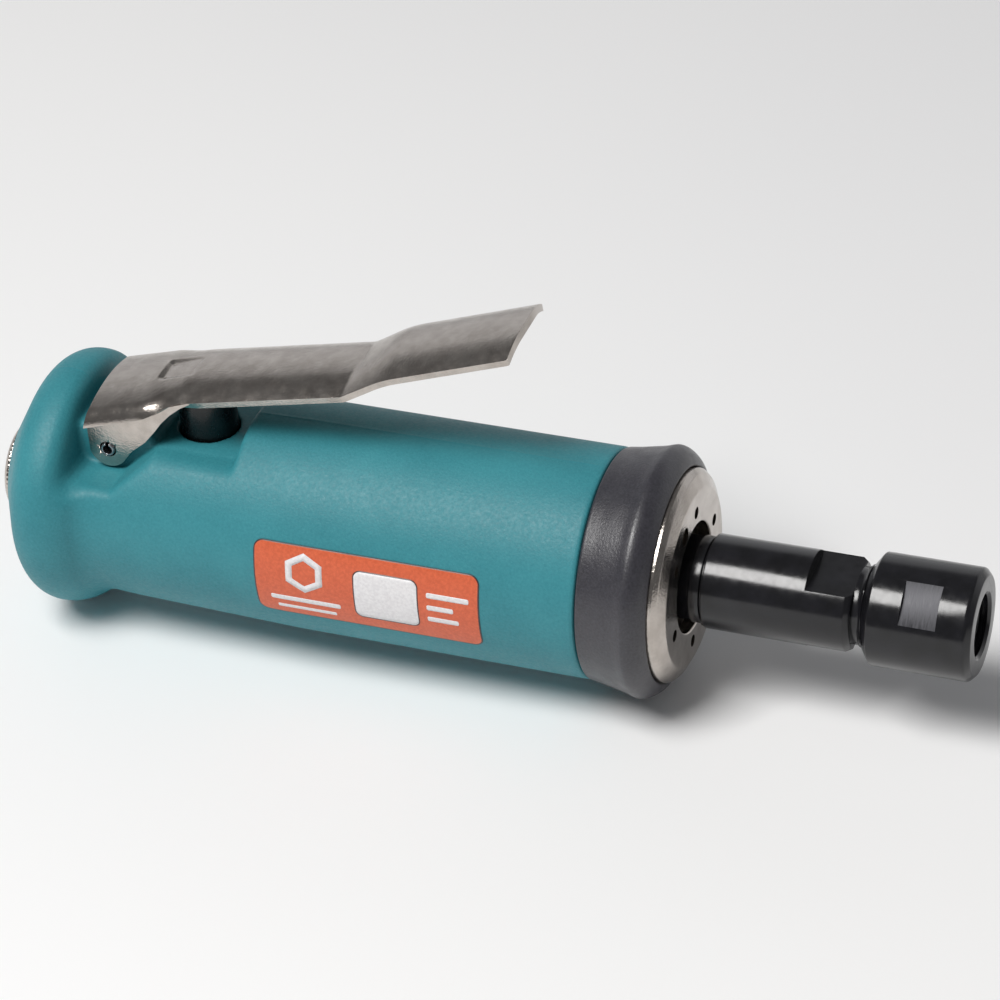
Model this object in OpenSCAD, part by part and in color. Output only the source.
// Straight die grinder: a vane air motor in a composite housing, with a throttle lever,
// a tilt valve, an exhaust cap behind a rubber collar, and a collet chuck.
// The spindle axis is X, forward is +X, the lever is up. The origin is the collet's mouth.

/* [Housing] */
// Diameter of the housing at its front end
housing_d = 39.5; // [38.5:0.1:41]
// Diameter of the waist in front of the rear rim
waist_d = 37.5; // [36.5:0.1:38.5]
// Diameter over the rear rim
rim_d = 44.5; // [43:0.1:46]
// Length of the housing, without the inlet
housing_len = 106.2; // [104:0.1:110]
// Diameter of the bore that holds the motor
motor_bore_d = 31.4; // [31:0.1:31.8]
// Depth of the motor bore
motor_bore_depth = 58.8; // [58:0.1:61]

/* [Collar and cap] */
// Length of the rubber collar
collar_len = 12.6; // [12:0.1:14]
// Largest diameter of the rubber collar
collar_d = 43; // [42:0.1:44]
// Diameter over the cap's rim
cap_d = 36.4; // [35.8:0.1:37]
// Diameter of the cap's flat face
cap_face_d = 30.8; // [29:0.1:32]
// Diameter of the opening round the spindle
cap_opening_d = 19; // [18:0.1:20]
// Number of small exhaust holes in the cap
exhaust_holes = 6; // [4:1:8]

/* [Chuck] */
// Diameter of the tool shank that the collet holds
shank_d = 6.35; // [6:0.05:6.35]
// Diameter of the collet nut
nut_d = 19.05; // [18.5:0.05:20]
// Length of the collet nut
nut_len = 18.6; // [18:0.1:20]
// Size across the nut's two wrench flats
nut_flats = 17.5; // [17:0.1:18]
// Diameter of the collet body
body_d = 16.04; // [15.8:0.02:16.4]
// Size across the collet body's two wrench flats
body_flats = 11.1; // [11:0.1:13]
// How far the nut stands ahead of the collet's mouth
nose = 1.6; // [1.2:0.1:2]

/* [Lever] */
// Width of the lever
lever_w = 17.4; // [16.5:0.1:18]
// Thickness of the lever's sheet
lever_t = 1.3; // [1.2:0.1:1.5]
// Angle of the lever at rest
lever_angle = 12.6; // [12.5:0.1:13]
// Height of the lever's crown above its pin
lever_crown = 10; // [9.8:0.1:10.2]

/* [Motor] */
// Diameter of the rotor
rotor_d = 22.2; // [21.5:0.1:22.4]
// Length of the cylinder
cylinder_len = 36; // [34:0.5:36]
// Number of vanes
vane_count = 4; // [4:1:4]

/* [Hidden] */

$fn = 96;
eps = 0.02;     // overshoot of a cut
fit = 0.05;     // running clearance on the radius

// Stations along the axis, from the nut's face back to the inlet
nut_front = nose;
nut_rear = nut_front - nut_len;
thread_gap = 2;                              // thread that shows behind the nut
body_end = nut_rear - thread_gap;
body_start = body_end - 25.3;                // shoulder where the neck widens
cap_front = body_start - 3.3;
cap_rim_x = cap_front - 2;
cap_rim_len = 3;
housing_front = cap_front - 14.6;
housing_rear = housing_front - housing_len;
inlet_end = housing_rear - 2.5;

// Motor stack
front_bearing_x = cap_front - 18.4;          // front face of the front bearing
front_bearing_w = 7;
plate_web = 2;
cylinder_front = front_bearing_x - front_bearing_w - plate_web;
cylinder_rear = cylinder_front - cylinder_len;
rear_bearing_x = cylinder_rear - plate_web;
rear_bearing_w = 6;
rear_plate_rear = rear_bearing_x - rear_bearing_w - 0.5;
motor_bore_end = housing_front - motor_bore_depth;
stack_r = motor_bore_d / 2 - 0.1;
shaft_front_r = 4;
shaft_rear_r = 3;
bore_offset = 1.4;                           // eccentricity of the cylinder's bore
cylinder_bore_r = rotor_d / 2 + bore_offset + 0.1;
vane_w = 1.6;
vane_h = 6;

// Bearings: [bore r, inner land r, pitch r, ball r, outer land r, outer r, balls]
front_bearing = [shaft_front_r, 6.05, 7.55, 1.9, 9.05, 11, 7];
rear_bearing = [shaft_rear_r, 4.9, 6.25, 1.7, 7.6, 9.5, 7];

// Rear end: lever, throttle button, tilt valve and inlet
pivot_x = housing_front - 86.8;
pivot_z = 13.55;
pin_r = 1.4;
button_x = pivot_x + 15.2;
button_r = 4.95;
button_bottom = 14.6;
button_top = 25.5;
button_dome_r = 6.1;
button_travel = 3.55;
recess_z = 15;                               // flat under the lever
recess_front = button_x + 8.6;
pocket_z = 9.5;                              // floor beside the lever's ears
pocket_rear = pivot_x - 5.9;
boss_half = 7.7;
boss_z = 17;
inlet_hole_r = 5.7;
inlet_depth = 10;
bushing_r = 7.9;
bushing_front = inlet_end + 14.5;
chamber_r = 5.6;
seal_rear = bushing_front + 5.8;
seal_t = 1.6;
passage_r = 4.5;
stem_r = 2.5;
stem_bottom = -5;
stem_chamber_r = 5;
stem_chamber_bottom = -10;
stem_eye_gap = 0.75;                         // room for the tip valve's rod to tilt in the stem's eye
tip_rod_r = 1.3;
tip_head_r = 4.4;
ear_outer = 9.2;                             // outer face of the lever's ears
hood_half = 10.4;

// ---- shared shapes ----

// Solid of revolution about X from [radius, x] points
module revolve(points) rotate([0, 90, 0]) rotate_extrude() polygon(points);

// Cylinder along X between two stations
module rod(x0, x1, r) translate([x0, 0, 0]) rotate([0, 90, 0]) cylinder(h = x1 - x0, r = r);

// Tube along X between two stations
module tube(x0, x1, outer, inner) difference() {
    rod(x0, x1, outer);
    rod(x0 - 1, x1 + 1, inner);
}

// Ring of round section about X
module ring(x, major, minor) translate([x, 0, 0]) rotate([0, 90, 0])
    rotate_extrude() translate([major, 0]) circle(r = minor, $fn = 32);

// Points of an arc in [radius, x]; angle 0 points outward and 90 points forward
function arc(r0, x0, radius, from, to, steps) =
    [for (i = [0 : steps]) let (a = from + (to - from) * i / steps)
        [r0 + radius * cos(a), x0 + radius * sin(a)]];

// ---- housing ----

barrel_r = housing_d / 2;
waist_r = waist_d / 2;
rim_r = rim_d / 2;
rim_x = housing_rear + 9.5;
taper_start = housing_front - 52.4;
crown_arc = 9;                               // front rounding of the rim
hollow_arc = 6;                              // hollow between the rim and the waist
rear_arc = 6;                                // rear rounding of the rim
slope = acos(1 - (rim_r - waist_r) / (crown_arc + hollow_arc));
rear_face_r = 11;
taper_end = rim_x + (crown_arc + hollow_arc) * sin(slope);

// Radius of the housing on its tapering stretch
function taper_r(x) = waist_r + (barrel_r - 0.05 - waist_r) * (x - taper_end) / (taper_start - taper_end);

module housing_outline() revolve(concat(
    [[0, housing_front], [barrel_r - 0.6, housing_front], [barrel_r, housing_front - 0.6],
     [barrel_r - 0.05, taper_start]],
    arc(waist_r + hollow_arc, taper_end, hollow_arc, 180, 180 + slope, 6),
    arc(rim_r - crown_arc, rim_x, crown_arc, slope, 0, 8),
    arc(rim_r - rear_arc, rim_x, rear_arc, -7, -62, 8),
    [[rear_face_r, housing_rear], [0, housing_rear]]));

// Cut that clears the lever: a side view carried across the given width
module lever_cut(points, width) translate([0, width / 2, 0]) rotate([90, 0, 0])
    linear_extrude(width) polygon(points);

module housing() color([0.22, 0.50, 0.53]) difference() {
    housing_outline();
    rod(motor_bore_end, housing_front + 1, motor_bore_d / 2);
    // Deep pockets beside the central boss, for the ears
    difference() {
        lever_cut([[pocket_rear, 40], [pocket_rear, pocket_z], [pivot_x + 2.6, pocket_z],
                   [pivot_x + 9.1, recess_z], [recess_front, recess_z], [recess_front + 1.2, 40]], 60);
        lever_cut([[pocket_rear - 1, boss_z], [pocket_rear - 1, 0], [recess_front + 2, 0],
                   [recess_front + 2, recess_z], [pivot_x + 8.5, recess_z], [pivot_x + 6.5, boss_z]],
                  2 * boss_half);
    }
    // Pin bore
    translate([pivot_x, 25, pivot_z]) rotate([90, 0, 0]) cylinder(h = 50, r = pin_r);
    // Button counterbore and stem chamber
    translate([button_x, 0, button_bottom - button_travel - 0.3]) cylinder(h = 10, r = button_r + 0.25);
    translate([button_x, 0, stem_chamber_bottom]) cylinder(h = 25, r = stem_chamber_r);
    // Air way: inlet thread, valve chamber, passage to the motor
    rod(housing_rear - 1, bushing_front, bushing_r + 0.1);
    rod(bushing_front - eps, seal_rear + seal_t, chamber_r);
    rod(seal_rear, button_x, passage_r);
    rod(button_x, motor_bore_end + eps, 3.5);
}

label_front = housing_front - 16.4;
label_len = 40.3;
label_h = 14.8;
label_t = 0.15;

label_rear = label_front - label_len;

// A thin skin that follows the barrel, cut to a rounded rectangle
module label() color([0.90, 0.43, 0.25]) intersection() {
    revolve([[taper_r(label_rear - 1), label_rear - 1], [taper_r(label_rear - 1) + label_t, label_rear - 1],
             [barrel_r - 0.05 + label_t, taper_start], [barrel_r + label_t, label_front + 1],
             [barrel_r, label_front + 1], [barrel_r - 0.05, taper_start]]);
    translate([label_front - label_len / 2, 0, 0]) rotate([90, 0, 0]) linear_extrude(30)
        union() {
            square([label_len, label_h - 3.6], center = true);
            square([label_len - 3.6, label_h], center = true);
            for (sx = [-1, 1], sz = [-1, 1])
                translate([sx * (label_len / 2 - 1.8), sz * (label_h / 2 - 1.8)]) circle(r = 1.8);
        }
}

// ---- collar, cap and muffler ----

cap_sleeve_r = 15.6;
cap_bore_r = 13.2;
collar_nose = 3.2;
collar_nose_x = cap_front - 5.7;

module collar() color([0.20, 0.20, 0.21]) revolve(concat(
    [[cap_sleeve_r + 0.1, housing_front], [barrel_r - 0.4, housing_front],
     [barrel_r + 0.1, housing_front + 0.6]],
    [[barrel_r + 0.35, housing_front + 2.4], [barrel_r + 0.75, housing_front + 4.4],
     [barrel_r + 1.3, housing_front + 6.6]],
    arc(collar_d / 2 - collar_nose, collar_nose_x, collar_nose, -12, 80, 8),
    [[cap_d / 2 + 0.15, collar_nose_x + collar_nose], [cap_d / 2 + 0.15, cap_rim_x - cap_rim_len],
     [cap_sleeve_r + 0.1, cap_rim_x - cap_rim_len]]));

module exhaust_cap() color([0.75, 0.73, 0.70]) difference() {
    revolve([[cap_opening_d / 2, cap_front - 2.4], [cap_opening_d / 2, cap_front],
             [cap_face_d / 2, cap_front], [cap_d / 2 - 0.35, cap_rim_x + 0.35], [cap_d / 2, cap_rim_x],
             [cap_d / 2, cap_rim_x - cap_rim_len], [cap_sleeve_r, cap_rim_x - cap_rim_len],
             [cap_sleeve_r, front_bearing_x], [cap_bore_r, front_bearing_x],
             [cap_bore_r, cap_front - 2.4]]);
    for (i = [0 : exhaust_holes - 1])
        rotate([50 + i * 360 / exhaust_holes, 0, 0]) translate([0, 0, 11.9])
            rod(cap_front - 4, cap_front + 1, 1.05);
    for (side = [0, 180])
        rotate([20 + side, 0, 0]) translate([0, 0, 11.7]) rod(cap_front - 4, cap_front + 1, 1.6);
}

module muffler_felt() color([0.55, 0.53, 0.48])
    tube(front_bearing_x + 3.4, cap_front - 3.2, cap_bore_r - 0.1, 9);

// ---- motor ----

module cylinder_liner() color([0.62, 0.63, 0.65]) difference() {
    rod(cylinder_rear, cylinder_front, stack_r);
    translate([0, 0, bore_offset]) rod(cylinder_rear - 1, cylinder_front + 1, cylinder_bore_r);
    // Exhaust slots in one side, and a rear inlet port on the other
    for (i = [0 : 4])
        translate([cylinder_front - 8 - i * 5, 0, 0]) rotate([90, 0, 0]) cylinder(h = 20, r = 1.5);
    translate([0, 12.9, -4]) rod(cylinder_rear - 1, cylinder_rear + 8, 1);
    dowel_holes();
}

dowel_z = -13.5;
module dowel_holes() for (x = [cylinder_front - 4, cylinder_rear - 4])
    translate([0, 0, dowel_z]) rod(x, x + 8, 0.8);

module dowel_pins() color([0.70, 0.71, 0.73]) dowel_holes();

module front_plate() color([0.66, 0.67, 0.69]) difference() {
    rod(cylinder_front, front_bearing_x, stack_r);
    rod(cylinder_front + plate_web, front_bearing_x + 1, front_bearing[5]);
    rod(cylinder_front - 1, front_bearing_x, 6.4);
    dowel_holes();
}

module rear_plate() color([0.66, 0.67, 0.69]) difference() {
    rod(rear_plate_rear, cylinder_rear, stack_r);
    rod(rear_plate_rear - 1, rear_bearing_x, rear_bearing[5]);
    rod(rear_plate_rear, cylinder_rear + 1, 4);
    translate([0, 12.9, -4]) rod(rear_plate_rear - 1, cylinder_rear + 1, 1);
    dowel_holes();
}

module rear_gasket() color([0.25, 0.25, 0.24])
    tube(motor_bore_end + 1, rear_plate_rear, stack_r, 14);

module rotor() color([0.58, 0.59, 0.61]) difference() {
    union() {
        rod(cylinder_rear + 0.1, cylinder_front - 0.1, rotor_d / 2);
        rod(rear_bearing_x - rear_bearing_w - 1.3, cylinder_rear + 1, shaft_rear_r);
        rod(cylinder_front - 1, front_bearing_x + 11, shaft_front_r);
    }
    for (i = [0 : vane_count - 1]) rotate([45 + i * 360 / vane_count, 0, 0])
        translate([cylinder_rear - 1, -vane_w / 2, rotor_d / 2 - vane_h])
            cube([cylinder_len + 2, vane_w, vane_h + 1]);
    // Groove for the snap ring
    tube(rear_bearing_x - rear_bearing_w - 0.75, rear_bearing_x - rear_bearing_w - 0.05,
         shaft_rear_r + 1, shaft_rear_r - 0.5);
}

module vane(i) color([0.45, 0.30, 0.20]) rotate([45 + (i - 1) * 360 / vane_count, 0, 0])
    translate([cylinder_rear + 0.2, -vane_w / 2 + fit, rotor_d / 2 - vane_h + 0.1])
        cube([cylinder_len - 0.4, vane_w - 2 * fit, vane_h - 0.15]);

module rotor_spacer() color([0.72, 0.73, 0.75])
    tube(cylinder_front - 0.1, cylinder_front + plate_web, 5.8, shaft_front_r);

module snap_ring() color([0.30, 0.30, 0.32]) difference() {
    tube(rear_bearing_x - rear_bearing_w - 0.7, rear_bearing_x - rear_bearing_w - 0.1,
         shaft_rear_r + 1.2, shaft_rear_r - 0.5);
    translate([rear_bearing_x - rear_bearing_w - 2, -1.2, 0]) cube([4, 2.4, 8]);
}

// ---- bearings ----

module inner_race(x, w, b) color([0.78, 0.79, 0.81]) difference() {
    tube(x - w, x, b[1], b[0]);
    ring(x - w / 2, b[2], b[3] + 0.1);
}

module outer_race(x, w, b) color([0.78, 0.79, 0.81]) difference() {
    tube(x - w, x, b[5], b[4]);
    ring(x - w / 2, b[2], b[3] + 0.1);
}

module at_balls(x, w, b) for (i = [0 : b[6] - 1])
    translate([x - w / 2, 0, 0]) rotate([i * 360 / b[6], 0, 0]) translate([0, 0, b[2]]) children();

module balls(x, w, b) color([0.86, 0.87, 0.89]) at_balls(x, w, b) sphere(r = b[3], $fn = 32);

module cage(x, w, b) color([0.72, 0.62, 0.36]) difference() {
    tube(x - w / 2 - b[3] - 0.3, x - w / 2 + b[3] + 0.3, b[2] + 0.45, b[2] - 0.45);
    at_balls(x, w, b) sphere(r = b[3] + 0.06, $fn = 32);
}

module shields(x, w, b) color([0.70, 0.71, 0.73]) for (s = [x - w, x - 0.3])
    tube(s, s + 0.3, b[4], b[1] + 0.35);

// ---- chuck ----

neck_r = 7.1;
thread_r = 7.1;
thread_end = nut_front - 7;
collet_taper = 16;                           // length of the collet's long cone
collet_front_r = 5.3;
collet_rear_r = 3.9;
back_bore_r = 3.75;                         // bore behind the collet

module collet_body() color([0.10, 0.10, 0.11]) difference() {
    revolve([[0, front_bearing_x], [5.6, front_bearing_x], [5.6, front_bearing_x + 0.8],
             [neck_r, front_bearing_x + 0.8], [neck_r, body_start - 0.4], [neck_r + 0.2, body_start],
             [body_d / 2 - 0.15, body_start], [body_d / 2, body_start + 0.15],
             [body_d / 2, body_end - 1], [body_d / 2 - 0.7, body_end], [thread_r - 0.5, body_end],
             [thread_r - 0.5, body_end + 0.7], [thread_r, body_end + 1.2], [thread_r, thread_end - 0.8],
             [thread_r - 0.8, thread_end], [0, thread_end]]);
    // Thread for the rotor shaft, collet seat, and the bore behind it
    rod(front_bearing_x - 1, front_bearing_x + 12, shaft_front_r);
    revolve([[0, thread_end + 1], [collet_front_r + 0.02, thread_end + 1],
             [collet_front_r + 0.02, thread_end], [collet_rear_r + 0.02, thread_end - collet_taper],
             [0, thread_end - collet_taper]]);
    rod(thread_end - collet_taper - 12, thread_end - collet_taper + 1, back_bore_r);
    // Two wrench flats, open towards the nut
    for (side = [-1, 1])
        translate([body_end - 7.9, -12, side > 0 ? body_flats / 2 : -body_flats / 2 - 10])
            cube([7.9 + eps, 24, 10]);
}

module collet() color([0.14, 0.14, 0.15]) difference() {
    revolve([[shank_d / 2 + 0.01, thread_end - collet_taper],
             [collet_rear_r, thread_end - collet_taper],
             [collet_front_r, thread_end], [collet_front_r + 0.3, thread_end],
             [collet_front_r + 0.3, thread_end + 1.6],
             [4.9, 0], [shank_d / 2 + 0.01, 0]]);
    for (i = [0 : 1]) rotate([45 + i * 90, 0, 0])
        translate([thread_end - collet_taper - 1, -8, -0.3]) cube([collet_taper + 4.4 - nose, 16, 0.6]);
}

module collet_nut() color([0.10, 0.10, 0.11]) difference() {
    revolve([[0, nut_rear], [nut_d / 2 - 1.9, nut_rear], [nut_d / 2, nut_rear + 1.3],
             [nut_d / 2, nut_front - 1.3], [nut_d / 2 - 0.4, nut_front - 0.4],
             [nut_d / 2 - 1.3, nut_front], [0, nut_front]]);
    rod(nut_front - 3, nut_front + 1, 5.2);
    revolve([[0, nut_rear - 1], [thread_r + fit, nut_rear - 1], [thread_r + fit, thread_end + 2.4],
             [collet_front_r + 0.35, thread_end + 2.4], [5, nut_front - 1.4], [0, nut_front - 1.4]]);
    for (side = [0, 180]) rotate([42.5 + side, 0, 0])
        translate([nut_front - 12, -8, nut_flats / 2]) cube([6.2, 16, 5]);
}

// ---- inlet and valve ----

module inlet_bushing() color([0.75, 0.73, 0.70]) difference() {
    revolve([[0, inlet_end], [7.6, inlet_end], [8.2, inlet_end + 0.6], [8.2, housing_rear],
             [bushing_r, housing_rear], [bushing_r, bushing_front], [0, bushing_front]]);
    rod(inlet_end - 1, inlet_end + inlet_depth, inlet_hole_r);
    rod(inlet_end, bushing_front + 1, 4.2);
    rod(bushing_front - 1, bushing_front + 1, 5.6);
    tube(inlet_end + 4, inlet_end + 5.4, bushing_r + 1, bushing_r - 0.95);
}

module inlet_o_ring() color([0.12, 0.12, 0.12]) ring(inlet_end + 4.7, bushing_r - 0.42, 0.5);

module inlet_screen() color([0.70, 0.70, 0.68]) difference() {
    rod(bushing_front - 0.9, bushing_front - 0.3, 5.55);
    for (x = [-3 : 3], y = [-3 : 3]) if (x * x + y * y < 10)
        translate([0, x * 1.3, y * 1.3]) rod(bushing_front - 2, bushing_front + 1, 0.45);
}

module valve_seal() color([0.14, 0.14, 0.14]) tube(seal_rear, seal_rear + seal_t, chamber_r - 0.05, 2.9);

module tip_valve() color([0.74, 0.75, 0.77]) union() {
    revolve([[0, seal_rear - 1.45], [tip_head_r - 0.3, seal_rear - 1.45],
             [tip_head_r, seal_rear - 1.15], [tip_head_r, seal_rear - 0.05], [0, seal_rear - 0.05]]);
    rod(seal_rear - 1, button_x + 3.4, tip_rod_r);
}

// Conical spring between the screen and the tip valve's head
spring_wire = 0.35;
spring_turns = 4;
spring_steps = 18;                           // straight steps in a turn
spring_back_r = 4.6;
spring_front_r = 3.4;
spring_back = bushing_front + 0.1 + spring_wire;
spring_front = seal_rear - 1.5 - spring_wire;
module spring_bead(i) let (t = i / (spring_turns * spring_steps))
    translate([spring_back + t * (spring_front - spring_back), 0, 0]) rotate([i * 360 / spring_steps, 0, 0])
        translate([0, 0, spring_back_r + t * (spring_front_r - spring_back_r)])
            sphere(r = spring_wire, $fn = 8);
module valve_spring() color([0.72, 0.73, 0.75]) for (i = [0 : spring_turns * spring_steps - 1])
    hull() {
        spring_bead(i);
        spring_bead(i + 1);
    }

module upright(z0, z1, r) translate([button_x, 0, z0]) cylinder(h = z1 - z0, r = r);

bushing_top = button_bottom - button_travel - 0.3;
groove_z = bushing_top - 3.4;

module stem_bushing() color([0.76, 0.64, 0.36]) difference() {
    upright(passage_r + 0.2, bushing_top, stem_chamber_r - 0.05);
    upright(0, bushing_top + 1, stem_r + fit);
    upright(groove_z - 0.6, groove_z + 0.6, stem_r + 0.95);
}

module stem_o_ring() color([0.12, 0.12, 0.12]) translate([button_x, 0, groove_z])
    rotate_extrude() translate([stem_r + 0.5, 0]) circle(r = 0.42, $fn = 32);

module valve_stem() color([0.78, 0.79, 0.81]) difference() {
    upright(stem_bottom, button_bottom + 5, stem_r);
    rod(button_x - 5, button_x + 5, tip_rod_r + stem_eye_gap);
}

module throttle_button() color([0.08, 0.08, 0.08]) difference() {
    intersection() {
        upright(button_bottom, button_top, button_r);
        union() {
            upright(button_bottom, button_top - button_dome_r, button_r + 1);
            translate([button_x, 0, button_top - button_dome_r]) sphere(r = button_dome_r, $fn = 96);
        }
    }
    upright(button_bottom - 1, button_bottom + 5, stem_r);
}

// ---- lever ----
// Drawn with its crown level and its pin at the origin, then tipped up to its rest angle.

crown_arc_r = 26;                            // radius of the lever's arched section
kick_u = 46.7;                               // where the paddle turns up
ramp_u = 55;
tip_u = 79.7;
ramp_rise = 2.8;
tip_rise = 5.8;

module in_lever_frame() translate([pivot_x, 0, pivot_z]) rotate([0, -lever_angle, 0]) children();

// Points of the sheet's arched section, [width, height], over a half width
function arch_points(half, inset) = let (a = asin(half / crown_arc_r))
    [for (i = [-4 : 4]) [(crown_arc_r - inset) * sin(a * i / 4),
                         lever_crown - crown_arc_r + (crown_arc_r - inset) * cos(a * i / 4)]];
function reversed(points) = [for (i = [len(points) - 1 : -1 : 0]) points[i]];

// Carries a section along the lever between two stations
module along_lever(u0, u1) translate([u0, 0, 0]) rotate([90, 0, 90]) linear_extrude(u1 - u0) children();

module arch(u0, u1) along_lever(u0, u1)
    polygon(concat(arch_points(lever_w / 2, 0), reversed(arch_points(lever_w / 2, lever_t))));

// The ramp and the paddle: the arch tipped up, each on its own pitch
module tipped_arch(u0, u1, start, rise) let (pitch = atan(rise / (u1 - u0)))
    translate([u0, 0, lever_crown + start]) rotate([0, -pitch, 0]) translate([-u0, 0, -lever_crown])
        arch(u0 - 0.6, u0 + (u1 - u0) / cos(pitch));

module ear(side) translate([0, side * (ear_outer - lever_t / 2), 0]) rotate([90, 0, 0])
    translate([0, 0, -lever_t / 2]) linear_extrude(lever_t) difference() {
        union() {
            circle(r = 3.5);
            polygon([[-3.5, 0], [-3.7, 5], [-2.9, 6.6], [14.6, 8], [16, 7.2], [2.1, -2.8]]);
        }
        circle(r = pin_r + fit);
    }

// Half outline of the hood over the ears, from its crown round the shoulder to its side
shoulder_r = 3.5;
shoulder_a = asin((hood_half - shoulder_r) / (crown_arc_r - shoulder_r));
hood_bottom = 5;
function hood_half_points(inset) = concat(
    [for (a = [0 : shoulder_a / 4 : shoulder_a])
        [(crown_arc_r - inset) * sin(a), lever_crown - crown_arc_r + (crown_arc_r - inset) * cos(a)]],
    [for (a = [shoulder_a : (90 - shoulder_a) / 6 : 90.1])
        [(crown_arc_r - shoulder_r) * sin(shoulder_a) + (shoulder_r - inset) * sin(a),
         lever_crown - crown_arc_r + (crown_arc_r - shoulder_r) * cos(shoulder_a)
         + (shoulder_r - inset) * cos(a)]],
    [[hood_half - inset, hood_bottom]]);

module hood(u0, u1) along_lever(u0, u1) for (side = [0, 1]) mirror([side, 0])
    polygon(concat(hood_half_points(0), reversed(hood_half_points(lever_t))));

module throttle_lever() color([0.68, 0.65, 0.61]) in_lever_frame() difference() {
    union() {
        hood(-2.6, 10.4);
        arch(10.4, kick_u);
        tipped_arch(kick_u, ramp_u, 0, ramp_rise);
        tipped_arch(ramp_u, tip_u, ramp_rise, tip_rise - ramp_rise);
        for (side = [-1, 1]) {
            // Ledge that joins the hood's side to the ear
            translate([-2.6, side > 0 ? ear_outer - lever_t : -hood_half, hood_bottom])
                cube([13, hood_half - ear_outer + lever_t, 1]);
            ear(side);
        }
    }
    // Pressed dent in the crown
    translate([10.2, -2.9, lever_crown - 0.35]) cube([7.1, 5.8, 1]);
}

module lever_pin() color([0.25, 0.25, 0.26]) translate([pivot_x, 0, pivot_z]) rotate([90, 0, 0])
    translate([0, 0, -9.5]) difference() {
        cylinder(h = 19, r = pin_r);
        translate([0, 0, -1]) cylinder(h = 21, r = 0.8);
        translate([-0.3, 0, -1]) cube([0.6, 3, 21]);
    }

// ---- nodes ----

housing();
label();
collar();
exhaust_cap();
muffler_felt();
cylinder_liner();  // cylinder
front_plate();
rear_plate();
rear_gasket();
dowel_pins();
outer_race(front_bearing_x, front_bearing_w, front_bearing);  // front_outer_race
inner_race(front_bearing_x, front_bearing_w, front_bearing);  // front_inner_race
balls(front_bearing_x, front_bearing_w, front_bearing);  // front_balls
cage(front_bearing_x, front_bearing_w, front_bearing);  // front_cage
shields(front_bearing_x, front_bearing_w, front_bearing);  // front_shields
outer_race(rear_bearing_x, rear_bearing_w, rear_bearing);  // rear_outer_race
inner_race(rear_bearing_x, rear_bearing_w, rear_bearing);  // rear_inner_race
balls(rear_bearing_x, rear_bearing_w, rear_bearing);  // rear_balls
cage(rear_bearing_x, rear_bearing_w, rear_bearing);  // rear_cage
shields(rear_bearing_x, rear_bearing_w, rear_bearing);  // rear_shields
rotor();
vane(1);  // vane_1
vane(2);  // vane_2
vane(3);  // vane_3
vane(4);  // vane_4
rotor_spacer();
snap_ring();
collet_body();
collet();
collet_nut();
inlet_bushing();
inlet_o_ring();
inlet_screen();
valve_seal();
tip_valve();
valve_spring();
stem_bushing();
stem_o_ring();
valve_stem();
throttle_button();
throttle_lever();
lever_pin();
